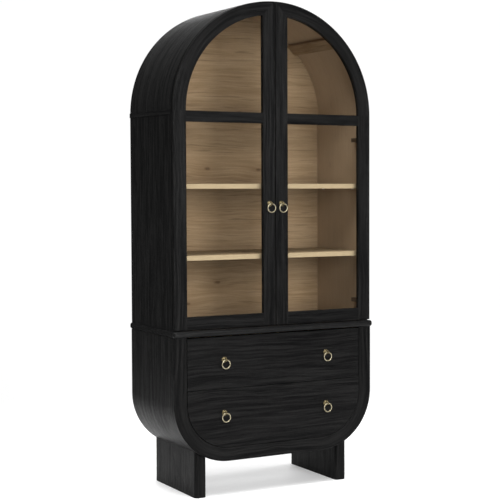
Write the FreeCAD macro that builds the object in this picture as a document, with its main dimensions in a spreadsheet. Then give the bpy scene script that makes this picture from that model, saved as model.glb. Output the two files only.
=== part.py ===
"""Arched curio cabinet: two glass doors over two drawers, on slab legs.

The upper case is a box with a bent half-round shell on top.  The lower case is a
U-shaped bent shell behind a face frame.  Frame: millimetres, X to the right as seen
from the front, Y from front to back, Z up.  The origin is on the floor, under the
middle of the whole cabinet.
"""
import FreeCAD, Part
import math
import os
import re

# Driving dimensions: alias, value, meaning.
SIZES = (
    ("case_half_width", 436, "upper case, centre to outer side"),
    ("case_depth", 424, "front of the doors to the back edge"),
    ("spring_height", 1496, "floor to where the arch starts"),
    ("side_thickness", 17, "upper side panels"),
    ("shell_thickness", 11, "bent arch shell"),
    ("band_height", 18, "strip over the joint of side and shell"),
    ("band_proud", 2.5, "strip thickness"),
    ("band_rise", 4, "strip top above the start of the arch"),
    ("back_thickness", 8, "both back panels"),
    ("back_recess", 12, "back edge to back panel"),
    ("batten_width", 52, "arch batten"),
    ("batten_thickness", 16, "arch batten"),
    ("batten_angle", 45, "arch batten, degrees above the start of the arch"),
    ("shelf_thickness", 19, "both shelves"),
    ("shelf_setback", 20, "case front to shelf front"),
    ("upper_shelf_rise", 561, "waist board to the top of the upper shelf"),
    ("lower_shelf_rise", 284.5, "waist board to the top of the lower shelf"),
    ("shelf_pin_radius", 2.5, "shelf pins"),
    ("shelf_pin_length", 20, "shelf pins, in the panel and out of it"),
    ("shelf_pin_depth", 10, "shelf pins, in the panel"),
    ("shelf_pin_inset", 60, "shelf edge to pin"),
    ("board_height", 632, "floor to the underside of the waist board"),
    ("board_thickness", 25, "waist board"),
    ("board_front", 14, "waist board in front of the doors"),
    ("board_side", 5, "waist board beside the lower case"),
    ("board_corner", 12, "waist board, plan corner radius"),
    ("board_nose", 10, "waist board, radius of the rounded edge"),
    ("lower_step", 2, "lower case, beyond the side of the upper case"),
    ("lower_bottom", 139, "floor to the underside of the lower case"),
    ("lower_radius", 232, "lower case, outer corner radius"),
    ("lower_shell", 15, "lower case, bent shell thickness"),
    ("frame_width", 53, "face frame, visible width"),
    ("frame_thickness", 20, "face frame"),
    ("leg_inset", 99.25, "lower case side to the outer face of a leg"),
    ("leg_thickness", 47.5, "leg, side to side"),
    ("leg_setback", 29, "door front to leg front"),
    ("leg_back_inset", 8, "back edge to leg back"),
    ("leg_front_round", 15, "leg, front corner radius"),
    ("leg_back_round", 4, "leg, back corner radius"),
    ("door_inset", 1, "case side to door edge"),
    ("door_thickness", 18, "doors"),
    ("door_gap", 2, "door back to case front"),
    ("door_bottom_gap", 3, "waist board to door"),
    ("centre_gap", 3, "between the two doors"),
    ("stile_width", 53, "door stiles and arch rail"),
    ("bottom_rail", 49, "door bottom rail"),
    ("mid_rail", 42, "door middle rail"),
    ("rebate_width", 7, "glass rebate, beyond the visible opening"),
    ("glass_setback", 8, "door front to glass"),
    ("glass_thickness", 4, "door glass"),
    ("glass_edge_gap", 1, "glass edge to rebate"),
    ("split_height", 424, "floor to the gap between the drawer fronts"),
    ("front_gap", 2, "around the drawer fronts"),
    ("front_top_gap", 5, "waist board to upper drawer front"),
    ("front_thickness", 19, "drawer fronts"),
    ("box_side", 12, "drawer box walls"),
    ("box_floor", 6, "drawer box floor"),
    ("box_floor_rise", 8, "drawer box, underside to floor"),
    ("box_back_gap", 40, "drawer box to back panel"),
    ("upper_box_rise", 18, "drawer gap to the upper drawer box"),
    ("upper_box_drop", 30, "waist board to the top of the upper drawer box"),
    ("lower_box_drop", 22, "drawer gap to the top of the lower drawer box"),
    ("lower_box_inset", 67, "side of the opening to the lower drawer box"),
    ("lower_box_clear", 10.6, "lower drawer box above the round corner of the opening"),
    ("runner_space", 13, "drawer box to cleat"),
    ("runner_gap", 0.5, "between the two runner members"),
    ("runner_height", 35, "drawer runners"),
    ("runner_setback", 4, "face frame to fixed runner"),
    ("cleat_height", 45, "runner cleats"),
    ("pull_inset", 158, "side of the opening to the drawer pulls"),
    ("upper_pull_rise", 9.5, "middle of the upper drawer space to its pulls"),
    ("lower_pull_rise", 22, "middle of the lower drawer space to its pulls"),
    ("door_pull_rise", 483, "waist board to the door pulls"),
    ("door_pull_offset", 26, "cabinet centre to door pull"),
    ("rosette_radius", 11, "pull rosette"),
    ("rosette_rim", 2, "pull rosette, height of the rim"),
    ("rosette_dome", 3.5, "pull rosette, height of the dome"),
    ("dome_top", 5, "pull rosette, radius of the dome at its top"),
    ("stem_radius", 3.5, "pull stem"),
    ("eye_reach", 16.5, "door front to the middle of the eye"),
    ("eye_radius", 6, "pull eye, outside"),
    ("eye_hole", 2.7, "pull eye, hole radius"),
    ("eye_width", 5, "pull eye, side to side"),
    ("ring_radius", 16.8, "pull ring, to the middle of its wire"),
    ("ring_wire", 2, "pull ring, wire radius"),
    ("low_hinge_rise", 81, "waist board to the lower hinges"),
    ("high_hinge_drop", 98, "start of the arch to the upper hinges"),
    ("cup_land", 7, "glass rebate to hinge cup"),
    ("cup_wall", 2, "hinge cup wall"),
    ("cup_depth", 12, "hinge cup"),
    ("cup_edge", 4, "door edge to hinge cup"),
    ("cup_notch", 3, "hinge cup, depth of the notch for the link"),
    ("notch_margin", 1, "hinge cup, notch above and below the link"),
    ("flange_height", 56, "hinge cup flange"),
    ("flange_reach", 4.5, "hinge cup flange, past the middle of the cup"),
    ("flange_thickness", 1, "hinge cup flange"),
    ("case_pivot_in", 34, "door edge to the case pivot of a hinge"),
    ("case_pivot_back", 6, "door back to the case pivot of a hinge"),
    ("door_pivot_in", 10, "door edge to the door pivot of a hinge"),
    ("door_pivot_deep", 2, "door back to the door pivot, into the door"),
    ("link_thickness", 2.4, "hinge link"),
    ("link_half_height", 6, "hinge link"),
    ("case_knuckle", 3, "hinge link, radius at the case pivot"),
    ("door_knuckle", 2.2, "hinge link, radius at the door pivot"),
    ("case_pin", 1.3, "hinge pin radius at the case pivot"),
    ("door_pin", 0.9, "hinge pin radius at the door pivot"),
    ("door_pin_cover", 1.8, "hinge cup wall left past each end of the pin at the door pivot"),
    ("pin_clearance", 0.08, "around a hinge pin"),
    ("arm_cheek", 2, "hinge arm, cheek thickness"),
    ("cheek_gap", 0.4, "hinge arm cheek to link"),
    ("arm_length", 66, "hinge arm, from the door back"),
    ("web_setback", 9, "case pivot to the solid part of a hinge arm"),
    ("plate_setback", 9, "case front to hinge mounting plate"),
    ("plate_thickness", 4, "hinge mounting plate"),
    ("plate_half_height", 10, "hinge mounting plate"),
    ("plate_length", 52, "hinge mounting plate"),
)
ALIASES = {alias for alias, value, meaning in SIZES}

# Places worked out from the driving dimensions, as formulas for the sheet.
FRONT = "((eye_reach + eye_radius - case_depth) / 2)"
BACK = f"({FRONT} + case_depth)"
DOOR_BACK = f"({FRONT} + door_thickness)"
CASE_FRONT = f"({DOOR_BACK} + door_gap)"
PANEL_BACK = f"({BACK} - back_recess)"
PANEL_FRONT = f"({PANEL_BACK} - back_thickness)"
INNER_HALF = "(case_half_width - side_thickness)"
SHELL_INSIDE = "(case_half_width - shell_thickness)"
DOOR_HALF = "(case_half_width - door_inset)"
BOARD_TOP = "(board_height + board_thickness)"
UPPER_SHELF_TOP = f"({BOARD_TOP} + upper_shelf_rise)"
LOWER_SHELF_TOP = f"({BOARD_TOP} + lower_shelf_rise)"
DOOR_BOTTOM = f"({BOARD_TOP} + door_bottom_gap)"
STILE_IN = f"({DOOR_HALF} - stile_width)"
CENTRE_EDGE = "(centre_gap / 2)"
CENTRE_IN = f"({CENTRE_EDGE} + stile_width)"
PANE_BOTTOM = f"({DOOR_BOTTOM} + bottom_rail)"
PANE_SPLIT = "(spring_height - mid_rail)"
GLASS_FRONT = f"({FRONT} + glass_setback)"
GLASS_BACK = f"({GLASS_FRONT} + glass_thickness)"
FRAME_BACK = f"({FRONT} + frame_thickness)"
LOWER_HALF = "(case_half_width + lower_step)"
OPENING_HALF = f"({LOWER_HALF} - frame_width)"
OPENING_BOTTOM = "(lower_bottom + frame_width)"
OPENING_RADIUS = "(lower_radius - frame_width)"
LEG_OUT = f"({LOWER_HALF} - leg_inset)"
DRAWER_BACK = f"({FRONT} + front_thickness)"
BOX_BACK = f"({PANEL_FRONT} - box_back_gap)"
UPPER_BOX_HALF = f"({OPENING_HALF} - runner_space)"
LOWER_BOX_HALF = f"({OPENING_HALF} - lower_box_inset)"
UPPER_BOX = ("(split_height + upper_box_rise)", "(board_height - upper_box_drop)")
CORNER_DROP = f"sqrt({OPENING_RADIUS} ^ 2 - ({OPENING_RADIUS} - lower_box_inset) ^ 2)"
LOWER_BOX = (f"({OPENING_BOTTOM} + {OPENING_RADIUS} - {CORNER_DROP} + lower_box_clear)",
             "(split_height - lower_box_drop)")
PULL_X = f"({OPENING_HALF} - pull_inset)"
UPPER_PULL = "((split_height + board_height) / 2 + upper_pull_rise)"
LOWER_PULL = f"(({OPENING_BOTTOM} + split_height) / 2 + lower_pull_rise)"
DOOR_PULL = f"({BOARD_TOP} + door_pull_rise)"
LOW_HINGE = f"({BOARD_TOP} + low_hinge_rise)"
HIGH_HINGE = "(spring_height - high_hinge_drop)"
CUP_RADIUS = "((stile_width - rebate_width - cup_land - cup_edge) / 2)"
CUP_CENTRE = f"({DOOR_HALF} - cup_edge - {CUP_RADIUS})"
CASE_PIVOT_X = f"({DOOR_HALF} - case_pivot_in)"
CASE_PIVOT_Y = f"({DOOR_BACK} + case_pivot_back)"
DOOR_PIVOT_X = f"({DOOR_HALF} - door_pivot_in)"
DOOR_PIVOT_Y = f"({DOOR_BACK} - door_pivot_deep)"
PIN_HALF = f"(sqrt({CUP_RADIUS} ^ 2 - ({CUP_RADIUS} + cup_edge - door_pivot_in) ^ 2) - door_pin_cover)"

SIDES = ((-1, "left"), (1, "right"))
UPRIGHT = FreeCAD.Rotation()
ALONG_X = FreeCAD.Rotation(FreeCAD.Vector(0, 1, 0), 90)
ALONG_Y = FreeCAD.Rotation(FreeCAD.Vector(1, 0, 0), -90)

doc = FreeCAD.newDocument("curio_cabinet")
nodes = []


def make_sheet():
    """Put the driving dimensions in a sheet, one row each."""
    table = doc.addObject("Spreadsheet::Sheet", "Sizes")
    for row, (alias, value, meaning) in enumerate(SIZES, start=1):
        table.set(f"A{row}", alias)
        table.set(f"B{row}", str(value))
        table.setAlias(f"B{row}", alias)
        table.set(f"C{row}", meaning)
    doc.recompute()
    return table


def size(alias):
    """Return one driving dimension as a plain number."""
    return float(sheet.get(alias))


def bind(piece, **formulas):
    """Tie properties of a piece to formulas of sheet aliases."""
    for key, text in formulas.items():
        path = key.replace("__", ".")
        words = re.sub(r"[a-z_]+", sheet_name, str(text))
        piece.setExpression(path, words)


def sheet_name(match):
    """Point an alias at its cell, and leave every other word alone."""
    word = match.group(0)
    return f"<<Sizes>>.{word}" if word in ALIASES else word


def move(piece, x, y, z, turn=UPRIGHT):
    """Place a piece by formulas, after turning it."""
    piece.Placement = FreeCAD.Placement(FreeCAD.Vector(0, 0, 0), turn)
    bind(piece, Placement__Base__x=x, Placement__Base__y=y, Placement__Base__z=z)


def slab(name, x, y, z):
    """Make a box between pairs of formulas."""
    piece = doc.addObject("Part::Box", name)
    spans = [f"({high}) - ({low})" for low, high in (x, y, z)]
    bind(piece, Length=spans[0], Width=spans[1], Height=spans[2])
    move(piece, x[0], y[0], z[0])
    return piece


def rod(name, radius, length, place, turn=UPRIGHT):
    """Make a cylinder from the centre of its first end."""
    piece = doc.addObject("Part::Cylinder", name)
    bind(piece, Radius=radius, Height=length)
    move(piece, *place, turn)
    return piece


def disc(name, radius, y, height="spring_height"):
    """Make a full disc about the arch axis, between two depths."""
    return rod(name, radius, f"({y[1]}) - ({y[0]})", ("0", y[0], height), ALONG_Y)


def on_side(x, side):
    """Turn a span measured outwards from the centre into one on a side."""
    low, high = x
    return (low, high) if side > 0 else (f"-({high})", f"-({low})")


def side_x(x, side):
    """Turn a distance from the centre into a place on a side."""
    return x if side > 0 else f"-({x})"


def fuse(name, *pieces):
    """Join pieces into one solid."""
    whole = doc.addObject("Part::MultiFuse", name)
    whole.Shapes = list(pieces)
    return whole


def cut(name, base, *tools):
    """Take the tools away from the base."""
    whole = doc.addObject("Part::Cut", name)
    whole.Base = base
    whole.Tool = tools[0] if len(tools) == 1 else fuse(f"{name}_tools", *tools)
    return whole


def common(name, first, second):
    """Keep what two pieces share."""
    whole = doc.addObject("Part::Common", name)
    whole.Base = first
    whole.Tool = second
    return whole


def mirrored(name, piece):
    """Make the other hand of a piece."""
    twin = doc.addObject("Part::Mirroring", name)
    twin.Source = piece
    twin.Normal = FreeCAD.Vector(1, 0, 0)
    return twin


def group(name, pieces):
    """Keep identical pieces as separate solids of one sub-part."""
    whole = doc.addObject("Part::Compound", name)
    whole.Links = list(pieces)
    return whole


def rounded(name, base, radius, wanted):
    """Round the edges of a base that a test accepts."""
    doc.recompute()
    edges = enumerate(base.Shape.Edges, start=1)
    chosen = [(number, radius, radius) for number, edge in edges if wanted(edge)]
    whole = doc.addObject("Part::Fillet", name)
    whole.Base = base
    whole.Edges = chosen
    return whole


def runs_along(edge, axis):
    """Tell whether an edge is straight along an axis (0, 1 or 2)."""
    first, last = edge.Vertexes[0].Point, edge.Vertexes[-1].Point
    step = last - first
    others = [abs(step[other]) for other in range(3) if other != axis]
    return abs(step[axis]) > 1e-6 and max(others) < 1e-6


def keep(piece, label):
    """List a finished sub-part under its own label."""
    piece.Label = label
    nodes.append(piece)
    return piece


# ---------------------------------------------------------------- upper case

def shelf_pins():
    """Eight pins, four under each shelf, half in the side panels."""
    pins = []
    rows = (f"{CASE_FRONT} + shelf_setback + shelf_pin_inset", f"{PANEL_FRONT} - shelf_pin_inset")
    for side, hand in SIDES:
        for level, top in (("upper", UPPER_SHELF_TOP), ("lower", LOWER_SHELF_TOP)):
            for number, row in enumerate(rows):
                z = f"{top} - shelf_thickness - shelf_pin_radius"
                start = f"{INNER_HALF} + shelf_pin_depth - shelf_pin_length"
                if side < 0:
                    start = f"-({INNER_HALF}) - shelf_pin_depth"
                name = f"pin_{hand}_{level}_{number}"
                pins.append(rod(name, "shelf_pin_radius", "shelf_pin_length", (start, row, z), ALONG_X))
    return pins


def upper_case():
    """Side panels, arch shell, joint strips, battens, back, shelves and pins."""
    depth = (CASE_FRONT, BACK)
    pins = shelf_pins()
    for side, hand in SIDES:
        x = on_side((INNER_HALF, "case_half_width"), side)
        panel = slab(f"{hand}_panel", x, depth, (BOARD_TOP, "spring_height"))
        holes = pins[:4] if side < 0 else pins[4:]
        keep(cut(f"{hand}_panel_drilled", panel, *holes), f"{hand}_upper_side_panel")

    above = slab("above_spring", ("-case_half_width", "case_half_width"), depth,
                 ("spring_height", "spring_height + case_half_width"))
    ring = cut("arch_ring", disc("arch_outer", "case_half_width", depth),
               disc("arch_inner", SHELL_INSIDE, depth))
    keep(common("arch_half", ring, above), "arch_shell")

    strip_z = ("spring_height + band_rise - band_height", "spring_height + band_rise")
    strips = [slab(f"{hand}_strip", on_side(("case_half_width", "case_half_width + band_proud"), side),
                   depth, strip_z) for side, hand in SIDES]
    keep(group("strips", strips), "arch_joint_strips")

    batten = arch_batten()
    keep(group("battens", [batten, mirrored("left_batten", batten)]), "arch_battens")
    keep(upper_back(), "upper_back_panel")
    for label, top in (("upper_shelf", UPPER_SHELF_TOP), ("lower_shelf", LOWER_SHELF_TOP)):
        keep(slab(label, (f"-{INNER_HALF}", INNER_HALF), (f"{CASE_FRONT} + shelf_setback", PANEL_FRONT),
                  (f"{top} - shelf_thickness", top)), label)
    keep(group("pins", pins), "shelf_pins")


def arch_batten():
    """The right batten, which follows the inside of the shell from front to back."""
    y = (f"{CASE_FRONT} + shelf_setback", PANEL_FRONT)
    bar = doc.addObject("Part::Box", "batten_bar")
    bind(bar, Length="shell_thickness + batten_thickness", Width=f"{y[1]} - {y[0]}", Height="batten_width")
    reach = f"({SHELL_INSIDE} - batten_thickness)"
    move(bar, f"{reach} * cos(batten_angle) + batten_width / 2 * sin(batten_angle)", y[0],
         f"spring_height + {reach} * sin(batten_angle) - batten_width / 2 * cos(batten_angle)",
         FreeCAD.Rotation(FreeCAD.Vector(0, 1, 0), -size("batten_angle")))
    return common("right_batten", bar, disc("batten_limit", SHELL_INSIDE, y))


def upper_back():
    """The back panel, round-topped, between the sides and under the shell."""
    y = (PANEL_FRONT, PANEL_BACK)
    low = slab("back_low", (f"-{INNER_HALF}", INNER_HALF), y, (BOARD_TOP, "spring_height"))
    limit = slab("back_limit", (f"-{SHELL_INSIDE}", SHELL_INSIDE), y,
                 ("spring_height", f"spring_height + {SHELL_INSIDE}"))
    high = common("back_high", disc("back_disc", SHELL_INSIDE, y), limit)
    return fuse("back_panel", low, high)


# ---------------------------------------------------------------- lower case

def u_block(name, half, bottom, radius, y, top="board_height"):
    """A block with two rounded lower corners; radius is a plain number."""
    block = slab(f"{name}_block", (f"-({half})", half), y, (bottom, top))
    doc.recompute()
    floor = block.Shape.BoundBox.ZMin

    def lower_corner(edge):
        return runs_along(edge, 1) and abs(edge.BoundBox.ZMax - floor) < 1e-6
    return rounded(name, block, radius, lower_corner)


def waist_board():
    """The board between the cases, with a rounded front and rounded ends."""
    half = f"{LOWER_HALF} + board_side"
    plank = slab("plank", (f"-({half})", half), (f"{FRONT} - board_front", BACK), ("board_height", BOARD_TOP))
    doc.recompute()
    front = plank.Shape.BoundBox.YMin
    back = plank.Shape.BoundBox.YMax

    def front_corner(edge):
        return runs_along(edge, 2) and abs(edge.BoundBox.YMin - front) < 1e-6

    def rim(edge):
        return edge.BoundBox.ZLength < 1e-3 and edge.BoundBox.YMin < back - 1e-3
    shaped = rounded("plank_corners", plank, size("board_corner"), front_corner)
    keep(rounded("plank_nose", shaped, size("board_nose"), rim), "waist_board")


def lower_case():
    """Bent shell, face frame, back panel and legs."""
    outer_radius = size("lower_radius")
    shell_y = (FRAME_BACK, BACK)
    shell_inside = f"{LOWER_HALF} - lower_shell"
    shell_floor = "lower_bottom + lower_shell"
    shell_radius = outer_radius - size("lower_shell")
    outside = u_block("lower_outside", LOWER_HALF, "lower_bottom", outer_radius, shell_y)
    inside = u_block("lower_inside", shell_inside, shell_floor, shell_radius, shell_y)
    keep(cut("lower_u", outside, inside), "lower_case_shell")

    frame_y = (FRONT, FRAME_BACK)
    face = u_block("frame_outside", LOWER_HALF, "lower_bottom", outer_radius, frame_y)
    hole = u_block("frame_hole", OPENING_HALF, OPENING_BOTTOM, outer_radius - size("frame_width"), frame_y)
    keep(cut("face_frame", face, hole), "lower_face_frame")
    keep(u_block("lower_back", shell_inside, shell_floor, shell_radius, (PANEL_FRONT, PANEL_BACK)),
         "lower_back_panel")

    underside = u_block("underside", LOWER_HALF, "lower_bottom", outer_radius, (FRONT, BACK))
    for side, hand in SIDES:
        keep(leg(side, hand, underside), f"{hand}_leg")


def leg(side, hand, underside):
    """A slab leg, rounded in plan and cut to the round underside."""
    x = on_side((f"{LEG_OUT} - leg_thickness", LEG_OUT), side)
    post = slab(f"{hand}_post", x, (f"{FRONT} + leg_setback", f"{BACK} - leg_back_inset"),
                ("0", "lower_bottom + lower_radius"))
    doc.recompute()
    front, back = post.Shape.BoundBox.YMin, post.Shape.BoundBox.YMax

    def front_edge(edge):
        return runs_along(edge, 2) and abs(edge.BoundBox.YMin - front) < 1e-3

    def back_edge(edge):
        return runs_along(edge, 2) and abs(edge.BoundBox.YMax - back) < 1e-3
    eased = rounded(f"{hand}_post_front", post, size("leg_front_round"), front_edge)
    eased = rounded(f"{hand}_post_back", eased, size("leg_back_round"), back_edge)
    return cut(f"{hand}_leg_cut", eased, underside)


# -------------------------------------------------------------------- doors

def pane_openings(side, hand):
    """Two visible openings and their rebates, as tools for the door pieces."""
    edge = on_side((CENTRE_IN, STILE_IN), side)
    wide = on_side((f"{CENTRE_IN} - rebate_width", f"{STILE_IN} + rebate_width"), side)
    through = (FRONT, DOOR_BACK)
    behind = (GLASS_FRONT, DOOR_BACK)
    low_rebate = slab(f"{hand}_low_rebate", wide, behind,
                      (f"{PANE_BOTTOM} - rebate_width", f"{PANE_SPLIT} + rebate_width"))
    high_rebate = arched_pane(f"{hand}_high_rebate", side, "rebate_width", behind)
    sight = disc(f"{hand}_sight", STILE_IN, through)
    return {"edge": edge, "through": through, "low": low_rebate, "high": high_rebate, "sight": sight}


def pane_arch(name, side, margin, y):
    """The quarter-round part of the upper pane outline, grown by a margin."""
    limit = slab(f"{name}_limit", on_side((f"{CENTRE_IN} - {margin}", f"{STILE_IN} + {margin}"), side), y,
                 ("spring_height", f"spring_height + {STILE_IN} + {margin}"))
    return common(name, disc(f"{name}_disc", f"{STILE_IN} + {margin}", y), limit)


def arched_pane(name, side, margin, y):
    """The whole upper pane outline, grown by a margin on every edge."""
    low = slab(f"{name}_low", on_side((f"{CENTRE_IN} - {margin}", f"{STILE_IN} + {margin}"), side), y,
               (f"spring_height - {margin}", "spring_height"))
    return fuse(name, low, pane_arch(f"{name}_high", side, margin, y))


def centre_stile(side, hand, y):
    """The stile at the middle of the cabinet, mitred to the arch rail."""
    name = f"{hand}_centre_stile"
    stile = doc.addObject("Part::Wedge", name)
    outer_top = f"(spring_height + sqrt({DOOR_HALF} ^ 2 - {CENTRE_EDGE} ^ 2))"
    inner_top = f"(spring_height + sqrt({STILE_IN} ^ 2 - {CENTRE_IN} ^ 2))"
    bind(stile, Xmin="0", X2min="0", Xmax=f"{y[1]} - {y[0]}", X2max=f"{y[1]} - {y[0]}")
    bind(stile, Ymin=CENTRE_EDGE, Ymax=CENTRE_IN, Zmin=DOOR_BOTTOM, Z2min=DOOR_BOTTOM)
    bind(stile, Zmax=outer_top, Z2max=inner_top)
    turn = FreeCAD.Rotation(FreeCAD.Vector(0, 0, 1), -90 * side)
    move(stile, "0", y[1] if side > 0 else y[0], "0", turn)
    return stile


def door_frame(side, hand, tools, bores):
    """Stiles, arch rail, bottom rail and middle rail of one door."""
    y = tools["through"]
    middle = centre_stile(side, hand, y)
    keep(cut(f"{hand}_centre", middle, tools["low"], tools["high"]), f"{hand}_door_centre_stile")

    outer = slab(f"{hand}_outer", on_side((STILE_IN, DOOR_HALF), side), y, (DOOR_BOTTOM, "spring_height"))
    keep(cut(f"{hand}_outer_cut", outer, tools["low"], tools["high"], *bores), f"{hand}_door_outer_stile")

    quarter = slab(f"{hand}_quarter", on_side((CENTRE_EDGE, DOOR_HALF), side), y,
                   ("spring_height", f"spring_height + {DOOR_HALF}"))
    rim = common(f"{hand}_rim", disc(f"{hand}_rim_disc", DOOR_HALF, y), quarter)
    keep(cut(f"{hand}_arch", rim, tools["sight"], middle, tools["high"]), f"{hand}_door_arch_rail")

    bottom = slab(f"{hand}_bottom", tools["edge"], y, (DOOR_BOTTOM, PANE_BOTTOM))
    keep(cut(f"{hand}_bottom_cut", bottom, tools["low"]), f"{hand}_door_bottom_rail")
    rail = slab(f"{hand}_rail", tools["edge"], y, (PANE_SPLIT, "spring_height"))
    keep(cut(f"{hand}_rail_cut", rail, tools["low"], tools["high"]), f"{hand}_door_middle_rail")


def door_glass(side, hand):
    """Two panes and the beads that hold them from behind."""
    margin = "(rebate_width - glass_edge_gap)"
    pane_y = (GLASS_FRONT, GLASS_BACK)
    bead_y = (GLASS_BACK, DOOR_BACK)
    lower = slab(f"{hand}_pane", on_side((f"{CENTRE_IN} - {margin}", f"{STILE_IN} + {margin}"), side), pane_y,
                 (f"{PANE_BOTTOM} - {margin}", f"{PANE_SPLIT} + {margin}"))
    keep(lower, f"{hand}_door_lower_glass")
    keep(arched_pane(f"{hand}_arched_pane", side, margin, pane_y), f"{hand}_door_upper_glass")

    full = slab(f"{hand}_bead", on_side((f"{CENTRE_IN} - rebate_width", f"{STILE_IN} + rebate_width"), side),
                bead_y, (f"{PANE_BOTTOM} - rebate_width", f"{PANE_SPLIT} + rebate_width"))
    clear = slab(f"{hand}_bead_hole", on_side((CENTRE_IN, STILE_IN), side), bead_y, (PANE_BOTTOM, PANE_SPLIT))
    low_bead = cut(f"{hand}_low_bead", full, clear)
    high_full = arched_pane(f"{hand}_high_bead_full", side, "rebate_width", bead_y)
    high_bead = cut(f"{hand}_high_bead", high_full, pane_arch(f"{hand}_high_bead_hole", side, "0", bead_y))
    keep(group(f"{hand}_beads", [low_bead, high_bead]), f"{hand}_door_glazing_beads")


# ------------------------------------------------------------------- hinges

HINGE_LEVELS = (("low", LOW_HINGE), ("high", HIGH_HINGE))


def cup_bores(side, hand):
    """Blind holes for the hinge cups in an outer stile."""
    place = (side_x(CUP_CENTRE, side), f"{DOOR_BACK} - cup_depth")
    return [rod(f"{hand}_bore_{label}", CUP_RADIUS, "cup_depth", (*place, level), ALONG_Y)
            for label, level in HINGE_LEVELS]


def hinge_cup(name, side, level):
    """A cup with its flange on the door and the pin of the door pivot."""
    x = side_x(CUP_CENTRE, side)
    body = rod(f"{name}_body", CUP_RADIUS, "cup_depth", (x, f"{DOOR_BACK} - cup_depth", level), ALONG_Y)
    flange_x = (f"{CUP_CENTRE} - {CUP_RADIUS}", f"{CUP_CENTRE} + flange_reach")
    flange = slab(f"{name}_flange", on_side(flange_x, side),
                  (DOOR_BACK, f"{DOOR_BACK} + flange_thickness"),
                  (f"{level} - flange_height / 2", f"{level} + flange_height / 2"))
    hollow = rod(f"{name}_hollow", f"{CUP_RADIUS} - cup_wall", "cup_depth + flange_thickness",
                 (x, f"{DOOR_BACK} - cup_depth + cup_wall", level), ALONG_Y)
    tall = "(link_half_height + notch_margin)"
    notch = slab(f"{name}_notch", on_side((DOOR_PIVOT_X, f"{CUP_CENTRE} + {CUP_RADIUS}"), side),
                 (f"{DOOR_BACK} - cup_notch", DOOR_BACK), (f"{level} - {tall}", f"{level} + {tall}"))
    shell = cut(f"{name}_shell", fuse(f"{name}_whole", body, flange), hollow, notch)
    pin = rod(f"{name}_pin", "door_pin", f"2 * {PIN_HALF}",
              (side_x(DOOR_PIVOT_X, side), DOOR_PIVOT_Y, f"{level} - {PIN_HALF}"))
    return fuse(name, shell, pin)


def hinge_link(name, side, level):
    """The link between the case pivot and the door pivot."""
    tall = "2 * link_half_height"
    case_place = (side_x(CASE_PIVOT_X, side), CASE_PIVOT_Y, f"{level} - link_half_height")
    door_place = (side_x(DOOR_PIVOT_X, side), DOOR_PIVOT_Y, f"{level} - link_half_height")
    knuckles = [rod(f"{name}_case", "case_knuckle", tall, case_place),
                rod(f"{name}_door", "door_knuckle", tall, door_place)]
    bores = [rod(f"{name}_case_bore", "case_pin + pin_clearance", tall, case_place),
             rod(f"{name}_door_bore", "door_pin + pin_clearance", tall, door_place)]
    across = size("case_pivot_in") - size("door_pivot_in")
    along = size("case_pivot_back") + size("door_pivot_deep")
    angle = math.degrees(math.atan2(along, across))
    turn = FreeCAD.Rotation(FreeCAD.Vector(0, 0, 1), 180 - angle if side > 0 else angle)
    shift = turn.multVec(FreeCAD.Vector(0, -size("link_thickness") / 2, 0))
    strap = doc.addObject("Part::Box", f"{name}_strap")
    bind(strap, Width="link_thickness", Height=tall, Length="sqrt((case_pivot_in - door_pivot_in) ^ 2"
                                                            " + (case_pivot_back + door_pivot_deep) ^ 2)")
    move(strap, f"{door_place[0]} + {shift.x}", f"{door_place[1]} + {shift.y}", door_place[2], turn)
    return cut(name, fuse(f"{name}_whole", *knuckles, strap), *bores)


def hinge_arm(name, side, level):
    """The arm on its plate, inside the case, with the pin of the case pivot."""
    face = f"({INNER_HALF} - plate_thickness)"
    x = on_side((f"{CASE_PIVOT_X} - case_knuckle", face), side)
    reach = (f"{CASE_PIVOT_Y} - case_knuckle", f"{DOOR_BACK} + arm_length")
    inner = "(link_half_height + cheek_gap)"
    outer = f"({inner} + arm_cheek)"
    cheeks = [slab(f"{name}_low_cheek", x, reach, (f"{level} - {outer}", f"{level} - {inner}")),
              slab(f"{name}_high_cheek", x, reach, (f"{level} + {inner}", f"{level} + {outer}"))]
    web = slab(f"{name}_web", x, (f"{CASE_PIVOT_Y} + web_setback", reach[1]),
               (f"{level} - {outer}", f"{level} + {outer}"))
    pin = rod(f"{name}_pin", "case_pin", f"2 * {outer}",
              (side_x(CASE_PIVOT_X, side), CASE_PIVOT_Y, f"{level} - {outer}"))
    start = f"{CASE_FRONT} + plate_setback"
    plate = slab(f"{name}_plate", on_side((face, INNER_HALF), side), (start, f"{start} + plate_length"),
                 (f"{level} - plate_half_height", f"{level} + plate_half_height"))
    return [fuse(name, *cheeks, web, pin), plate]


# ---------------------------------------------------------------- ring pulls

def pull(name, x, z):
    """Rosette, stem and drilled eye of one ring pull, and its ring."""
    rim = rod(f"{name}_rim", "rosette_radius", "rosette_rim", (x, f"{FRONT} - rosette_rim", z), ALONG_Y)
    dome = doc.addObject("Part::Cone", f"{name}_dome")
    bind(dome, Radius1="rosette_radius", Radius2="dome_top", Height="rosette_dome")
    outward = FreeCAD.Rotation(FreeCAD.Vector(1, 0, 0), 90)
    move(dome, x, f"{FRONT} - rosette_rim", z, outward)
    stem = rod(f"{name}_stem", "stem_radius", "eye_reach", (x, f"{FRONT} - eye_reach", z), ALONG_Y)
    eye = rod(f"{name}_eye", "eye_radius", "eye_width", (f"{x} - eye_width / 2", f"{FRONT} - eye_reach", z),
              ALONG_X)
    hole = rod(f"{name}_hole", "eye_hole", "2 * eye_radius", (f"{x} - eye_radius", f"{FRONT} - eye_reach", z),
               ALONG_X)
    post = cut(f"{name}_post", fuse(f"{name}_body", rim, dome, stem, eye), hole)
    ring = doc.addObject("Part::Torus", f"{name}_ring")
    bind(ring, Radius1="ring_radius", Radius2="ring_wire")
    move(ring, x, f"{FRONT} - eye_reach", f"{z} - ring_radius", ALONG_Y)
    return post, ring


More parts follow.
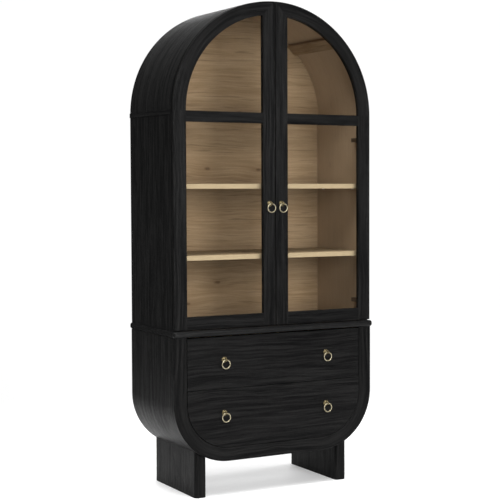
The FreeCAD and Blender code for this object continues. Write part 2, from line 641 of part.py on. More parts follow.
def doors():
    """Both doors with their pulls, and the hinges on both sides of the case."""
    arms = []
    for side, hand in SIDES:
        tools = pane_openings(side, hand)
        door_frame(side, hand, tools, cup_bores(side, hand))
        door_glass(side, hand)
        cups = [hinge_cup(f"{hand}_cup_{label}", side, level) for label, level in HINGE_LEVELS]
        keep(group(f"{hand}_cups", cups), f"{hand}_hinge_cups")
        links = [hinge_link(f"{hand}_link_{label}", side, level) for label, level in HINGE_LEVELS]
        keep(group(f"{hand}_links", links), f"{hand}_hinge_links")
        for label, level in HINGE_LEVELS:
            arms.extend(hinge_arm(f"{hand}_arm_{label}", side, level))
        post, ring = pull(f"{hand}_door_pull", side_x("door_pull_offset", side), DOOR_PULL)
        keep(post, f"{hand}_door_pull_post")
        keep(ring, f"{hand}_door_pull_ring")
    keep(group("arms", arms), "hinge_arms_and_plates")


# ------------------------------------------------------------------ drawers

def drawer_front(label):
    """An inset front; the lower one has rounded lower corners."""
    half = f"{OPENING_HALF} - front_gap"
    y = (FRONT, DRAWER_BACK)
    if label == "upper":
        front = slab("upper_front", (f"-({half})", half), y,
                     ("split_height + front_gap / 2", "board_height - front_top_gap"))
    else:
        radius = size("lower_radius") - size("frame_width") - size("front_gap")
        front = u_block("lower_front", half, f"{OPENING_BOTTOM} + front_gap", radius, y,
                        "split_height - front_gap / 2")
    return keep(front, f"{label}_drawer_front")


def drawer_box(label, half, z):
    """Two sides, a back and a floor behind the front."""
    y = (DRAWER_BACK, BOX_BACK)
    inside = f"({half} - box_side)"
    sides = [slab(f"{label}_{hand}_wall", on_side((inside, half), side), y, z) for side, hand in SIDES]
    keep(group(f"{label}_walls", sides), f"{label}_drawer_sides")
    back_front = f"({BOX_BACK} - box_side)"
    keep(slab(f"{label}_back", (f"-{inside}", inside), (back_front, BOX_BACK), z), f"{label}_drawer_back")
    floor_z = (f"{z[0]} + box_floor_rise", f"{z[0]} + box_floor_rise + box_floor")
    keep(slab(f"{label}_floor", (f"-{inside}", inside), (DRAWER_BACK, back_front), floor_z),
         f"{label}_drawer_floor")


def around_middle(z, height):
    """A span of a height, centred on another span."""
    middle = f"(({z[0]} + {z[1]}) / 2)"
    return f"{middle} - {height} / 2", f"{middle} + {height} / 2"


def runner_pair(label, half, box_z):
    """Moving runners on the drawer and fixed runners on the cleats."""
    z = around_middle(box_z, "runner_height")
    member = "((runner_space - runner_gap) / 2)"
    moving_x = (half, f"{half} + {member}")
    fixed_x = (f"{half} + runner_space - {member}", f"{half} + runner_space")
    fixed_y = (f"{FRAME_BACK} + runner_setback", BOX_BACK)
    moving = [slab(f"{label}_{hand}_moving", on_side(moving_x, side), (DRAWER_BACK, BOX_BACK), z)
              for side, hand in SIDES]
    fixed = [slab(f"{label}_{hand}_fixed", on_side(fixed_x, side), fixed_y, z) for side, hand in SIDES]
    keep(group(f"{label}_moving", moving), f"{label}_drawer_runners")
    keep(group(f"{label}_fixed", fixed), f"{label}_case_runners")


def cleats(label, half, box_z, inside):
    """Blocks that carry the fixed runners, trimmed to the inside of the shell."""
    z = around_middle(box_z, "cleat_height")
    blocks = []
    for side, hand in SIDES:
        x = on_side((f"{half} + runner_space", LOWER_HALF), side)
        block = slab(f"{label}_{hand}_block", x, (FRAME_BACK, PANEL_FRONT), z)
        blocks.append(common(f"{label}_{hand}_cleat", block, inside))
    return blocks


def drawers():
    """Both drawers, their runners and their pulls."""
    inside = u_block("cleat_limit", f"{LOWER_HALF} - lower_shell", "lower_bottom + lower_shell",
                     size("lower_radius") - size("lower_shell"), (FRAME_BACK, BACK))
    blocks = []
    rows = (("upper", UPPER_BOX_HALF, UPPER_BOX, UPPER_PULL), ("lower", LOWER_BOX_HALF, LOWER_BOX, LOWER_PULL))
    for label, half, box_z, pull_z in rows:
        drawer_front(label)
        drawer_box(label, half, box_z)
        runner_pair(label, half, box_z)
        blocks.extend(cleats(label, half, box_z, inside))
        posts = []
        for side, hand in SIDES:
            post, ring = pull(f"{label}_{hand}_pull", side_x(PULL_X, side), pull_z)
            posts.append(post)
            keep(ring, f"{label}_drawer_{hand}_ring")
        keep(group(f"{label}_posts", posts), f"{label}_drawer_pull_posts")
    keep(group("cleats", blocks), "runner_cleats")


def check_and_write():
    """Refuse a failed model, then write one file for each sub-part."""
    doc.recompute()
    for thing in doc.Objects:
        if "Invalid" in thing.State or "Error" in thing.State:
            raise RuntimeError(f"{thing.Name} failed to build")
    os.makedirs("parts", exist_ok=True)
    for piece in nodes:
        if piece.Shape.isNull() or not piece.Shape.isValid() or not piece.Shape.Solids:
            raise RuntimeError(f"{piece.Label} has no valid solid")
    for piece in nodes:
        piece.Shape.exportStep(f"parts/{piece.Label}.step")


sheet = make_sheet()
upper_case()
waist_board()
lower_case()
doors()
drawers()
check_and_write()
box = Part.makeCompound([piece.Shape for piece in nodes]).BoundBox
print(len(nodes), "sub-parts;", "size", round(box.XLength, 1), round(box.YLength, 1), round(box.ZLength, 1))
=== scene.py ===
"""Arched curio cabinet: finishes, eased edges, pulls, floor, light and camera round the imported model."""
import math

import bmesh
import bpy
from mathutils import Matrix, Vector


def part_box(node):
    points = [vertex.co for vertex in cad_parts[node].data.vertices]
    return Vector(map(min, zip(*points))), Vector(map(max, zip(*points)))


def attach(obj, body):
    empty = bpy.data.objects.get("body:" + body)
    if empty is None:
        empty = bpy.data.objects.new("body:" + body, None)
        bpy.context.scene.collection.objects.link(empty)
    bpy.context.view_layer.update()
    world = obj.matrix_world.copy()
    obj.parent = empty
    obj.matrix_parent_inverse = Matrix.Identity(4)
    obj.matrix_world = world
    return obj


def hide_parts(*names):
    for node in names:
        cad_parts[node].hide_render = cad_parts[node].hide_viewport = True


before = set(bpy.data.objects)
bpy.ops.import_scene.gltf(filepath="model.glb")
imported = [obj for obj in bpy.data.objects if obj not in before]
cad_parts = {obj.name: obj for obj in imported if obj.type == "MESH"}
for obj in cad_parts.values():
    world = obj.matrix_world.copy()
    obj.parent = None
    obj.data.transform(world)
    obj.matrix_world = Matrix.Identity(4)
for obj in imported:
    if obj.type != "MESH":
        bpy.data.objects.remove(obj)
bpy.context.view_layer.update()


# ------------------------------------------------------------ places on the cabinet

MM = 0.001
side_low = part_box("right_upper_side_panel")[0]
shell_low, shell_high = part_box("arch_shell")
base_low, base_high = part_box("lower_case_shell")
base_back_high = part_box("lower_back_panel")[1]
back_low, back_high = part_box("upper_back_panel")
board_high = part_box("waist_board")[1]
stile_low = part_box("left_door_outer_stile")[0]

INNER_HALF = side_low.x                     # centre to the inner face of a side panel
SPRING = shell_low.z                        # where the sides turn into the arch
ARCH_RADIUS = shell_high.x
ARCH_INSIDE = back_high.z - SPRING          # inner radius of the bent arch
CASE_FRONT = side_low.y
BOARD_TOP = board_high.z
BASE_HALF = base_high.x
BASE_BOTTOM = base_low.z
BASE_INSIDE = base_back_high.x              # centre to the inner face of the lower case
BASE_WALL = BASE_HALF - BASE_INSIDE
BASE_RADIUS = 232 * MM                      # outer corner radius of the lower case
DOOR_FRONT = stile_low.y
SHELF_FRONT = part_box("upper_shelf")[0].y
SHADED_FLOOR_STRIP = 44 * MM                         # painted shade: a black strip behind the doors, on the floor of the case, where the gap under the doors is in shade
BACK_FACE = (back_low.y + back_high.y) / 2  # half way through both back panels


# ------------------------------------------------------------ shader arithmetic

class Field:
    """A number that changes over a surface; Python sums on it become nodes."""

    def __init__(self, nodes, socket):
        self.nodes, self.socket = nodes, socket

    def __add__(self, other):
        return self.nodes.maths("ADD", self, other)

    def __sub__(self, other):
        return self.nodes.maths("SUBTRACT", self, other)

    def __rsub__(self, other):
        return self.nodes.maths("SUBTRACT", other, self)

    def __mul__(self, other):
        return self.nodes.maths("MULTIPLY", self, other)

    def __abs__(self):
        return self.nodes.maths("ABSOLUTE", self)

    __radd__ = __add__
    __rmul__ = __mul__


class Nodes:
    """A node tree that is filled by plain calls and sums."""

    def __init__(self, tree):
        self.tree = tree
        tree.nodes.clear()

    def node(self, kind, inputs=None, output=0, **settings):
        """Add a node: settings first, then the values or links of its sockets."""
        made = self.tree.nodes.new(kind)
        for key, value in settings.items():
            setattr(made, key, value)
        for key, value in (inputs or {}).items():
            if isinstance(value, Field):
                self.tree.links.new(value.socket, made.inputs[key])
            else:
                made.inputs[key].default_value = value
        return Field(self, made.outputs[output]) if made.outputs else made

    def maths(self, operation, *values):
        return self.node("ShaderNodeMath", dict(enumerate(values)), operation=operation)

    def least(self, *values):
        return self.maths("MINIMUM", *values)

    def most(self, *values):
        return self.maths("MAXIMUM", *values)

    def below(self, value, limit):
        """1 where a value is under a limit, and 0 elsewhere."""
        return self.maths("LESS_THAN", value, limit)

    def length(self, first, second):
        """The length of two parts at a right angle."""
        return self.maths("SQRT", first * first + second * second)

    def rise(self, value, low, high, to_low=0.0, to_high=1.0):
        """Smoothly map a range of a value to another range."""
        return self.node("ShaderNodeMapRange", {0: value, 1: low, 2: high, 3: to_low, 4: to_high},
                         interpolation_type="SMOOTHSTEP")

    def vector(self, x, y, z):
        return self.node("ShaderNodeCombineXYZ", {0: x, 1: y, 2: z})

    def noise(self, place, detail=3.0, roughness=0.55):
        inputs = {"Vector": place, "Scale": 1.0, "Detail": detail, "Roughness": roughness}
        return self.node("ShaderNodeTexNoise", inputs, noise_dimensions="3D")

    def blend(self, share, first, second):
        """A colour between two colours."""
        return self.node("ShaderNodeMix", {0: share, 6: first, 7: second}, output=2, data_type="RGBA")


class Finish(Nodes):
    """One material, and the place on the cabinet of the point that is shaded."""

    def __init__(self, name):
        self.material = bpy.data.materials.new(name)
        self.material.use_nodes = True
        super().__init__(self.material.node_tree)
        point = self.node("ShaderNodeTexCoord", output="Object")
        self.x, self.y, self.z = (self.node("ShaderNodeSeparateXYZ", {0: point}, output=axis)
                                  for axis in "XYZ")
        self.piece = self.node("ShaderNodeObjectInfo", output="Random")

    def cloud(self, per_metre, detail=3.0, roughness=0.55):
        """Even mottling, at so many spots to the metre."""
        place = self.vector(self.x * per_metre, self.y * per_metre, self.z * per_metre)
        return self.noise(place, detail, roughness)

    def surface(self, colour, roughness, bump=None, depth=0.2 * MM, **constants):
        """Finish the material with one Principled shader."""
        inputs = {"Base Color": colour, "Roughness": roughness}
        inputs.update({key.replace("_", " "): value for key, value in constants.items()})
        if bump is not None:
            relief = {"Height": bump, "Distance": depth, "Strength": 1.0}
            inputs["Normal"] = self.node("ShaderNodeBump", relief)
        shader = self.node("ShaderNodeBsdfPrincipled", inputs)
        self.node("ShaderNodeOutputMaterial", {"Surface": shader})
        return self.material


def rgb(red, green, blue):
    return (red, green, blue, 1.0)


# ------------------------------------------------------------ directions of the grain

def along_z(f):
    return f.z, f.x, f.y


def along_x(f):
    return f.x, f.z, f.y


def along_y(f):
    return f.y, f.x, f.z


NEARLY_ZERO = 1e-5


def bent(f, centre_x, centre_z, radius, up):
    """Grain that runs up a side, round a corner, and along the top or bottom."""
    out = abs(f.x) - centre_x
    beyond = (f.z - centre_z) * up
    out_part, beyond_part = f.most(out, 0.0), f.most(beyond, 0.0)
    angle = f.maths("ARCTAN2", beyond_part, f.most(out_part, NEARLY_ZERO))
    along = f.least(beyond, 0.0) + angle * radius - f.least(out, 0.0)
    across = f.length(out_part, beyond_part)
    return along, across, f.y


def round_arch(f):
    return bent(f, 0.0, SPRING, ARCH_RADIUS, 1.0)


def round_base(f):
    return bent(f, BASE_HALF - BASE_RADIUS, BASE_BOTTOM + BASE_RADIUS, BASE_RADIUS, -1.0)


# ------------------------------------------------------------ veneer

# The factors on along, across and depth are cycles per metre with, across and into the grain.
PORE_DEPTH = 0.25 * MM
EDGE_HIGHLIGHT_DEPTH = 0.6 * MM                        # front edge of a shelf, painted palest as a painted highlight
INNER_MARGIN = 0.8 * MM                     # added to an inner face, so that the face itself is inside
UNDER_DOOR = 2 * MM                         # the waist board is dull from here behind the door fronts
MATT = 1.0                                  # the highest roughness


def black_ash(f, direction):
    """Colour, roughness and relief of black-stained open-pored ash."""
    along, across, depth = direction(f)
    shift = f.piece * 7.0
    sway = f.noise(f.vector(along * 2.2, across * 5.0 + shift, depth * 5.0), detail=2.0)
    wavy = across + (sway - 0.5) * 0.05
    figure = f.noise(f.vector(along * 2.4 + shift, wavy * 85.0, depth * 85.0 + shift),
                     detail=5.0, roughness=0.62)
    streak = f.noise(f.vector(along * 9.0, wavy * 420.0 + shift, depth * 420.0), detail=3.0, roughness=0.6)
    pores = f.noise(f.vector(along * 45.0, across * 1900.0, depth * 1900.0 + shift), detail=1.0)
    pore = f.rise(pores, 0.56, 0.72)
    cloud = f.noise(f.vector(along * 3.0, across * 6.0, depth * 6.0 + shift), detail=2.0)
    light = f.rise(figure * 0.6 + streak * 0.4, 0.40, 0.64)
    tone = f.blend(light, rgb(0.0012, 0.0012, 0.0013), rgb(0.0105, 0.0103, 0.0101))
    tone = f.blend(pore * 0.50, tone, rgb(0.0008, 0.0008, 0.0008))
    rough = 0.38 + cloud * 0.10 + pore * 0.14 - light * 0.13
    relief = light * 0.9 + streak * 0.5 - pore * 0.9
    return tone, rough, relief


def light_oak(f, direction):
    """Colour, roughness and relief of pale oak with a lively figure and a few small knots."""
    along, across, depth = direction(f)
    shift = f.piece * 5.0
    cell = f.vector(along * 2.1 + shift, (across + depth) * 4.6, 0.0)
    near = f.node("ShaderNodeTexVoronoi", {"Vector": cell, "Scale": 1.0, "Randomness": 1.0},
                  output="Distance", voronoi_dimensions="2D")
    ragged = f.noise(f.vector(along * 60.0, across * 150.0, depth * 150.0), detail=2.0)
    core = near + (ragged - 0.5) * 0.035
    knot = f.rise(core, 0.008, 0.042, 1.0, 0.0)
    swirl = f.rise(near, 0.0, 0.24, 1.0, 0.0)
    sway = f.noise(f.vector(along * 2.6 + shift, across * 9.0, depth * 9.0), detail=3.0)
    wavy = across + (sway - 0.5) * 0.040 + swirl * 0.008
    rings = f.noise(f.vector(along * 3.4 + shift, wavy * 105.0, depth * 105.0), detail=5.0, roughness=0.62)
    streak = f.noise(f.vector(along * 9.0 + shift, wavy * 210.0, depth * 210.0), detail=3.0, roughness=0.6)
    fine = f.noise(f.vector(along * 16.0, wavy * 620.0, depth * 620.0 + shift), detail=2.0)
    pores = f.noise(f.vector(along * 60.0, across * 2100.0, depth * 2100.0 + shift), detail=1.0)
    pore = f.rise(pores, 0.58, 0.74)
    checks = f.noise(f.vector(along * 4.5 + shift, wavy * 170.0, depth * 170.0), detail=2.0)
    check = f.rise(checks, 0.62, 0.70)
    stave = f.noise(f.vector(along * 0.6 + shift, across * 9.0, depth * 9.0), detail=1.0)
    cloud = f.noise(f.vector(along * 5.0, across * 14.0 + shift, depth * 14.0), detail=2.0)
    tone = f.blend(f.rise(rings, 0.28, 0.72), rgb(0.236, 0.158, 0.086), rgb(0.318, 0.228, 0.134))
    tone = f.blend(f.rise(streak, 0.42, 0.68) * 0.38, tone, rgb(0.172, 0.110, 0.057))
    tone = f.blend(f.rise(fine, 0.40, 0.70) * 0.25, tone, rgb(0.165, 0.106, 0.056))
    tone = f.blend(f.rise(stave, 0.38, 0.64) * 0.20, tone, rgb(0.345, 0.256, 0.158))
    tone = f.blend(f.rise(cloud, 0.45, 0.70) * 0.22, tone, rgb(0.350, 0.262, 0.164))
    tone = f.blend(pore * 0.35, tone, rgb(0.095, 0.060, 0.034))
    tone = f.blend(check * 0.48, tone, rgb(0.090, 0.054, 0.028))
    tone = f.blend(swirl * 0.32, tone, rgb(0.140, 0.086, 0.044))
    tone = f.blend(knot * 0.70, tone, rgb(0.075, 0.042, 0.022))
    rough = 0.50 + pore * 0.12 + rings * 0.08
    relief = rings * 0.4 + streak * 0.2 + fine * 0.2 - pore * 0.8
    return tone, rough, relief


def shelf_oak_lit_edge(f):
    """The same oak, paler on the whole shelf, and palest on its front edge as a painted highlight where the
    edge faces the light.
    """
    tone, rough, relief = light_oak(f, along_x)
    edge_highlight = f.below(f.y, SHELF_FRONT + EDGE_HIGHLIGHT_DEPTH)
    # painted highlight: the front edge of the shelf is blended to the palest tone
    tone = f.blend(0.35 + edge_highlight * 0.45, tone, rgb(0.400, 0.318, 0.196))
    return tone, rough, relief


def pale_birch(f, direction):
    """Colour, roughness and relief of the plain wood inside the drawers."""
    along, across, depth = direction(f)
    shift = f.piece * 9.0
    sway = f.noise(f.vector(along * 2.0, across * 6.0 + shift, depth * 6.0), detail=2.0)
    wavy = across + (sway - 0.5) * 0.03
    rings = f.noise(f.vector(along * 1.5 + shift, wavy * 48.0, depth * 48.0), detail=3.0)
    fine = f.noise(f.vector(along * 14.0, wavy * 600.0, depth * 600.0), detail=2.0)
    tone = f.blend(f.rise(rings, 0.35, 0.70), rgb(0.560, 0.420, 0.270), rgb(0.680, 0.545, 0.385))
    tone = f.blend(f.rise(fine, 0.40, 0.72) * 0.25, tone, rgb(0.440, 0.310, 0.190))
    return tone, 0.55 + rings * 0.1, fine * 0.6 + rings * 0.3


def join(f, share, first, second):
    """Two woods on one board, by a share that is 0 or 1."""
    tone = f.blend(share, first[0], second[0])
    rough = first[1] + (second[1] - first[1]) * share
    relief = first[2] + (second[2] - first[2]) * share
    return tone, rough, relief


def veneer(name, build, shine=0.05):
    """Make a wood finish from a function that gives colour, roughness and relief."""
    f = Finish(name)
    tone, rough, relief = build(f)
    return f.surface(tone, rough, relief, depth=PORE_DEPTH, Specular_IOR_Level=shine)


def inner_oak(f, direction):
    """The oak of the inner sides, a little paler than the back."""
    tone, rough, relief = light_oak(f, direction)
    return f.blend(0.58, tone, rgb(0.480, 0.365, 0.245)), rough, relief


def before_back(f):
    """1 in front of the back panels, where the display space and the drawers are."""
    return f.below(f.y, BACK_FACE)


def side_panel_wood(f):
    inner = f.below(abs(f.x), INNER_HALF + INNER_MARGIN / 2) * before_back(f)
    return join(f, inner, black_ash(f, along_z), inner_oak(f, along_z))


def arch_shell_wood(f):
    radius = f.length(f.x, f.z - SPRING)
    inner = f.below(radius, ARCH_INSIDE + INNER_MARGIN) * before_back(f)
    return join(f, inner, black_ash(f, round_arch), inner_oak(f, round_arch))


def lower_shell_wood(f):
    along, across, depth = round_base(f)
    inner = f.below(across, BASE_RADIUS - BASE_WALL + INNER_MARGIN) * before_back(f)
    return join(f, inner, black_ash(f, round_base), pale_birch(f, round_base))


def waist_board_wood(f):
    """Black all round, and oak where it is the floor of the display space, apart from a black strip behind
    the doors that is painted shade.
    """
    # painted shade: the strip just behind the doors stays black, as dark as the shaded gap under the doors
    within = f.below(abs(f.x), INNER_HALF) * f.below(CASE_FRONT - f.y, -SHADED_FLOOR_STRIP) * before_back(f)
    floor = within * f.below(BOARD_TOP - f.z, 0.5 * MM)
    tone, rough, relief = join(f, floor, black_ash(f, along_x), light_oak(f, along_x))
    under_doors = f.below(DOOR_FRONT - f.y, -UNDER_DOOR) - floor
    return tone, f.least(rough + under_doors * 0.6, MATT), relief


def back_panel_wood(f):
    """Oak towards the front and black towards the wall."""
    return join(f, before_back(f), black_ash(f, along_x), light_oak(f, along_x))


def lower_back_wood(f):
    return join(f, before_back(f), black_ash(f, along_x), pale_birch(f, along_x))


# ------------------------------------------------------------ metal and glass

PATINA_DEPTH = 0.15 * MM
BRUSH_DEPTH = 0.04 * MM
GLASS_IOR = 1.45
MIRROR_SHARE = 0.22                         # how much of the full reflection the panes show


def aged_brass(name, dull, bright):
    """Brass between two colours, worn bright where it is handled."""
    f = Finish(name)
    patina = f.cloud(260.0, detail=4.0, roughness=0.7)
    rub = f.cloud(900.0, detail=2.0)
    worn = f.rise(patina, 0.38, 0.62)
    tone = f.blend(worn, dull, bright)
    rough = 0.46 - worn * 0.18 + rub * 0.06
    return f.surface(tone, rough, rub * 0.5 + patina * 0.5, depth=PATINA_DEPTH, Metallic=1.0)


def plated_steel(name, dull, bright):
    """Brushed plated steel between two tones."""
    f = Finish(name)
    brush = f.noise(f.vector(f.x * 300.0, f.y * 60.0, f.z * 2400.0), detail=2.0)
    cloud = f.cloud(40.0)
    tone = f.blend(cloud, dull, bright)
    return f.surface(tone, 0.26 + brush * 0.12 + cloud * 0.06, brush, depth=BRUSH_DEPTH, Metallic=1.0)


def clear_glass():
    """Thin glass: nearly all clear, with a mirror share that grows at a glancing look."""
    f = Finish("clear_glass")
    smear = f.noise(f.vector(f.x * 9.0, f.y * 9.0, f.z * 5.0), detail=4.0)
    mirror = f.node("ShaderNodeFresnel", {"IOR": GLASS_IOR})
    alpha = f.least(mirror * MIRROR_SHARE + f.rise(smear, 0.5, 0.8) * 0.006, 1.0)
    return f.surface(rgb(0.93, 0.96, 0.95), 0.03 + smear * 0.03, Metallic=1.0, Alpha=alpha)


# ------------------------------------------------------------ which piece has which finish

def wood(kind, direction):
    """One kind of wood with its grain in one direction."""
    return lambda f: kind(f, direction)


ASH_UP = veneer("black_ash_upright", wood(black_ash, along_z))
ASH_LEG = veneer("black_ash_leg", wood(black_ash, along_z), shine=0.04)
ASH_ACROSS = veneer("black_ash_across", wood(black_ash, along_x))
ASH_ARCH = veneer("black_ash_arch", wood(black_ash, round_arch))
ASH_BASE = veneer("black_ash_base", wood(black_ash, round_base))
ASH_DEEP = veneer("black_ash_deep", wood(black_ash, along_y))
SHELF_WOOD = veneer("shelf_oak_lit_edge", shelf_oak_lit_edge)
OAK_DEEP = veneer("light_oak_deep", wood(light_oak, along_y))
BIRCH_ACROSS = veneer("pale_birch_across", wood(pale_birch, along_x))
BIRCH_DEEP = veneer("pale_birch_deep", wood(pale_birch, along_y))
SIDE_WOOD = veneer("side_panel_wood", side_panel_wood)
ARCH_WOOD = veneer("arch_shell_wood", arch_shell_wood, shine=0.06)
BASE_WOOD = veneer("lower_shell_wood", lower_shell_wood)
BOARD_WOOD = veneer("waist_board_wood", waist_board_wood, shine=0.12)
BACK_WOOD = veneer("upper_back_wood", back_panel_wood)
LOW_BACK_WOOD = veneer("lower_back_wood", lower_back_wood)
OLD_BRASS = aged_brass("old_brass", rgb(0.070, 0.055, 0.028), rgb(0.240, 0.195, 0.105))
PALE_BRASS = aged_brass("pale_brass", rgb(0.200, 0.170, 0.100), rgb(0.520, 0.470, 0.340))
NICKEL = plated_steel("nickel_steel", rgb(0.500, 0.495, 0.480), rgb(0.660, 0.650, 0.630))
DARK_NICKEL = plated_steel("dark_nickel", rgb(0.075, 0.060, 0.047), rgb(0.180, 0.155, 0.130))
GLASS = clear_glass()

# Name ending, finish, radius of the eased edges in millimetres. The first match counts.
FINISHES = (
    ("_glass", GLASS, 0.4),
    ("_ring", PALE_BRASS, 0.0),
    ("pull_post", OLD_BRASS, 0.0),
    ("pull_posts", OLD_BRASS, 0.0),
    ("hinge_arms_and_plates", DARK_NICKEL, 0.5),
    ("hinge_cups", DARK_NICKEL, 0.3),
    ("hinge_links", DARK_NICKEL, 0.3),
    ("runners", NICKEL, 0.5),
    ("shelf_pins", NICKEL, 0.3),
    ("upper_side_panel", SIDE_WOOD, 0.8),
    ("arch_shell", ARCH_WOOD, 0.8),
    ("arch_joint_strips", ASH_DEEP, 0.8),
    ("arch_battens", OAK_DEEP, 1.5),
    ("upper_back_panel", BACK_WOOD, 0.0),
    ("_shelf", SHELF_WOOD, 0.8),
    ("waist_board", BOARD_WOOD, 0.8),
    ("lower_case_shell", BASE_WOOD, 0.8),
    ("lower_face_frame", ASH_BASE, 1.2),
    ("lower_back_panel", LOW_BACK_WOOD, 0.0),
    ("_leg", ASH_LEG, 1.5),
    ("drawer_front", ASH_ACROSS, 1.2),
    ("drawer_sides", BIRCH_DEEP, 0.8),
    ("drawer_back", BIRCH_ACROSS, 0.8),
    ("drawer_floor", BIRCH_ACROSS, 0.3),
    ("runner_cleats", BIRCH_DEEP, 0.8),
    ("arch_rail", ASH_ARCH, 1.2),
    ("bottom_rail", ASH_ACROSS, 1.2),
    ("middle_rail", ASH_ACROSS, 1.2),
    ("stile", ASH_UP, 1.2),
    ("glazing_beads", ASH_UP, 0.4),
)
WELD_DISTANCE = 0.01 * MM
EDGE_ANGLE = math.radians(38)               # bends flatter than this stay as they are
EDGE_SEGMENTS = 3
FLAT_FACE_WEIGHT = 80


def ease_edges(piece, radius):
    """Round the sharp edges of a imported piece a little, without touching its mesh."""
    weld = piece.modifiers.new("joined", "WELD")
    weld.merge_threshold = WELD_DISTANCE
    eased = piece.modifiers.new("eased", "BEVEL")
    eased.width = radius * MM
    eased.segments = EDGE_SEGMENTS
    eased.limit_method = "ANGLE"
    eased.angle_limit = EDGE_ANGLE
    eased.use_clamp_overlap = True
    normals = piece.modifiers.new("even", "WEIGHTED_NORMAL")
    normals.weight = FLAT_FACE_WEIGHT


def dress(name, piece):
    """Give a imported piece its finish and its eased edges."""
    finish, radius = next(row[1:] for row in FINISHES if name.endswith(row[0]))
    piece.data.materials.clear()
    piece.data.materials.append(finish)
    if radius:
        ease_edges(piece, radius)


for node_name, node_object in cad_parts.items():
    dress(node_name, node_object)


# ------------------------------------------------------------ pulls

# Outline of a rosette, as radius and height off the front, both in millimetres.
ROSETTE = ((11.0, 0.0), (11.0, 0.7), (10.6, 1.2), (9.9, 1.4), (9.2, 1.2), (8.7, 0.9), (8.2, 1.0),
           (7.7, 1.9), (6.9, 2.9), (5.8, 3.7), (4.6, 4.4), (3.8, 5.2), (3.3, 6.4), (3.2, 8.6), (3.4, 10.4),
           (3.3, 11.6), (2.6, 12.2), (0.0, 12.3))
LATHE_STEPS = 48
EYE_HOLE, EYE_WIDTH = 2.7 * MM, 5 * MM
EYE_SIDES, EYE_STEPS = 14, 32


def mesh_piece(name, mesh, finish, body):
    """Put a finished mesh in the scene, on the body that it moves with."""
    piece = bpy.data.objects.new(name, mesh)
    bpy.context.scene.collection.objects.link(piece)
    mesh.materials.append(finish)
    mesh.polygons.foreach_set("use_smooth", [True] * len(mesh.polygons))
    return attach(piece, body)


def lathe(work, outline, centre, front):
    """Turn an outline round an axis that points to the front."""
    rows = []
    for radius, height in outline:
        y = front - height * MM
        if radius == 0.0:
            rows.append([work.verts.new((centre.x, y, centre.z))])
            continue
        ring = []
        for step in range(LATHE_STEPS):
            angle = math.tau * step / LATHE_STEPS
            x = centre.x + radius * MM * math.cos(angle)
            z = centre.z + radius * MM * math.sin(angle)
            ring.append(work.verts.new((x, y, z)))
        rows.append(ring)
    work.faces.new(rows[0])
    for low, high in zip(rows, rows[1:]):
        for step in range(LATHE_STEPS):
            after = (step + 1) % LATHE_STEPS
            corners = [low[step], low[after], high[after % len(high)], high[step % len(high)]]
            work.faces.new(corners[:3] if len(high) == 1 else corners)


def eye(work, centre, reach, outside, width):
    """A rounded lug with a hole through it from side to side."""
    middle = (outside + EYE_HOLE) / 2
    thick = (outside - EYE_HOLE) / 2
    loops = []
    for step in range(EYE_STEPS):
        around = math.tau * step / EYE_STEPS
        loop = []
        for side in range(EYE_SIDES):
            section = math.tau * side / EYE_SIDES
            radius = middle + thick * math.cos(section)
            x = centre.x + width / 2 * math.sin(section)
            y = reach + radius * math.cos(around)
            z = centre.z + radius * math.sin(around)
            loop.append(work.verts.new((x, y, z)))
        loops.append(loop)
    for step, loop in enumerate(loops):
        after = loops[(step + 1) % EYE_STEPS]
        for side in range(EYE_SIDES):
            beside = (side + 1) % EYE_SIDES
            work.faces.new((loop[side], loop[beside], after[beside], after[side]))


def pull_posts(name, body, node, rings):
    """Rosettes with their eyes, one over each ring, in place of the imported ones."""
    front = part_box(node)[0].y
    work = bmesh.new()
    for ring in rings:
        ring_low, ring_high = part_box(ring)
        wire = (ring_high.y - ring_low.y) / 2
        centre = Vector(((ring_low.x + ring_high.x) / 2, 0.0, ring_high.z - wire))
        reach = (ring_low.y + ring_high.y) / 2
        lathe(work, ROSETTE, centre, DOOR_FRONT)
        eye(work, centre, reach, reach - front, EYE_WIDTH)
    bmesh.ops.recalc_face_normals(work, faces=work.faces)
    mesh = bpy.data.meshes.new(name)
    work.to_mesh(mesh)
    work.free()
    piece = mesh_piece(name, mesh, OLD_BRASS, body)
    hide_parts(node)


for hand in ("left", "right"):
    pull_posts(f"{hand}_door_rosette", f"{hand}_door", f"{hand}_door_pull_post", [f"{hand}_door_pull_ring"])
for row in ("upper", "lower"):
    pull_posts(f"{row}_drawer_rosettes", f"{row}_drawer", f"{row}_drawer_pull_posts",
               [f"{row}_drawer_left_ring", f"{row}_drawer_right_ring"])


# ------------------------------------------------------------ floor, light and camera

FLOOR_HALF = 3.0
FADE_START, FADE_END = 0.9, 2.6             # metres from the middle of the cabinet
FLOOR_GLOW = 0.22


def floor():
    """A plain pale floor that fades out to the white surround."""
    corners = [(-FLOOR_HALF, -FLOOR_HALF, 0), (FLOOR_HALF, -FLOOR_HALF, 0),
               (FLOOR_HALF, FLOOR_HALF, 0), (-FLOOR_HALF, FLOOR_HALF, 0)]
    mesh = bpy.data.meshes.new("floor")
    mesh.from_pydata(corners, [], [(0, 1, 2, 3)])
    ground = bpy.data.objects.new("floor", mesh)
    bpy.context.scene.collection.objects.link(ground)
    f = Finish("floor_paint")
    cloud = f.noise(f.vector(f.x * 1.5, f.y * 1.5, 0.0), detail=2.0)
    near = f.rise(f.length(f.x, f.y), FADE_START, FADE_END, 1.0, 0.0)
    paint = f.surface(rgb(0.90, 0.90, 0.90), 0.8 + cloud * 0.05, Alpha=near,
                      Emission_Color=rgb(1.0, 1.0, 1.0), Emission_Strength=FLOOR_GLOW)
    mesh.materials.append(paint)


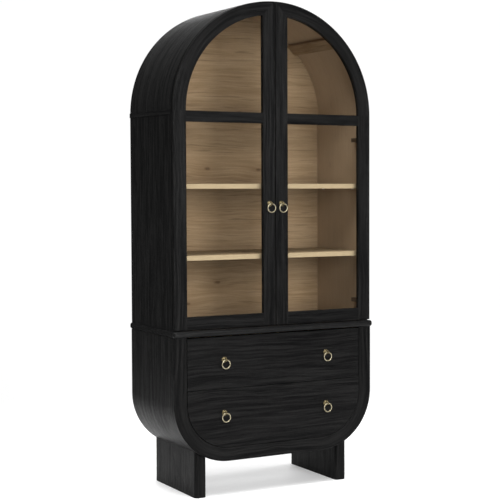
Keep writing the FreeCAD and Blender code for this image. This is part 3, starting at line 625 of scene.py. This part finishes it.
def softbox(name, place, target, width, height, power):
    """A large soft lamp that faces a target."""
    lamp = bpy.data.lights.new(name, "AREA")
    lamp.shape = "RECTANGLE"
    lamp.size, lamp.size_y = width, height
    lamp.energy = power
    holder = bpy.data.objects.new(name, lamp)
    bpy.context.scene.collection.objects.link(holder)
    holder.location = place
    holder.rotation_euler = (Vector(target) - Vector(place)).to_track_quat("-Z", "Y").to_euler()


BACKDROP = (0.53, 0.85, 0.0)                # the direction of the white wall behind the cabinet
AMBIENT, WALL_GLOW, TOP_GLOW = 0.17, 0.85, 0.55


def sky():
    """A white surround to look at, and a dim one with a white backdrop for the light."""
    world = bpy.data.worlds.new("surround")
    world.use_nodes = True
    f = Nodes(world.node_tree)
    towards = f.node("ShaderNodeTexCoord", output="Generated")
    facing = f.node("ShaderNodeVectorMath", {0: towards, 1: BACKDROP},
                    output="Value", operation="DOT_PRODUCT")
    height = f.node("ShaderNodeSeparateXYZ", {0: towards}, output="Z")
    glow = AMBIENT + f.rise(facing, 0.82, 0.97) * WALL_GLOW + f.rise(height, 0.25, 0.95) * TOP_GLOW
    seen = f.node("ShaderNodeLightPath", output="Is Camera Ray")
    light = f.node("ShaderNodeBackground", {"Color": rgb(1.0, 1.0, 1.0), "Strength": f.most(glow, seen)})
    f.node("ShaderNodeOutputWorld", {"Surface": light})
    bpy.context.scene.world = world


# Name, place, target, width and height of the lamp in metres, power in watts.
SOFTBOXES = (
    ("key", (-0.3, -5.6, 1.7), (0, 0, 1.1), 3.8, 2.8, 350),
    ("ceiling", (-1.3, -1.2, 4.6), (0, 0, 1.2), 2.4, 2.4, 170),
    ("right_fill", (5.2, 0.2, 1.8), (0, 0, 1.0), 3.0, 2.6, 190),
    ("back_fill", (2.2, 5.0, 1.9), (0, 0, 1.0), 3.0, 2.6, 170),
)
VIEWPOINT = (-2.5076, -4.9397, 1.2176)
DIP, TURN = 2.79, 31.84                     # degrees below level, and to the right of straight ahead
SENSOR_WIDTH, FOCAL_LENGTH = 36.0, 97.61    # millimetres
SIDE_SHIFT = -0.239
FAR_LIMIT = 200.0


def camera():
    """The viewpoint: left of the front, a little above the middle."""
    lens = bpy.data.cameras.new("viewpoint")
    lens.sensor_width = SENSOR_WIDTH
    lens.lens = FOCAL_LENGTH
    lens.shift_x = SIDE_SHIFT
    lens.clip_end = FAR_LIMIT
    holder = bpy.data.objects.new("viewpoint", lens)
    bpy.context.scene.collection.objects.link(holder)
    holder.location = VIEWPOINT
    holder.rotation_euler = (math.radians(90 - DIP), 0.0, math.radians(-TURN))
    bpy.context.scene.camera = holder


floor()
sky()
for lamp_row in SOFTBOXES:
    softbox(*lamp_row)
camera()
bpy.context.scene.view_settings.view_transform = "Standard"
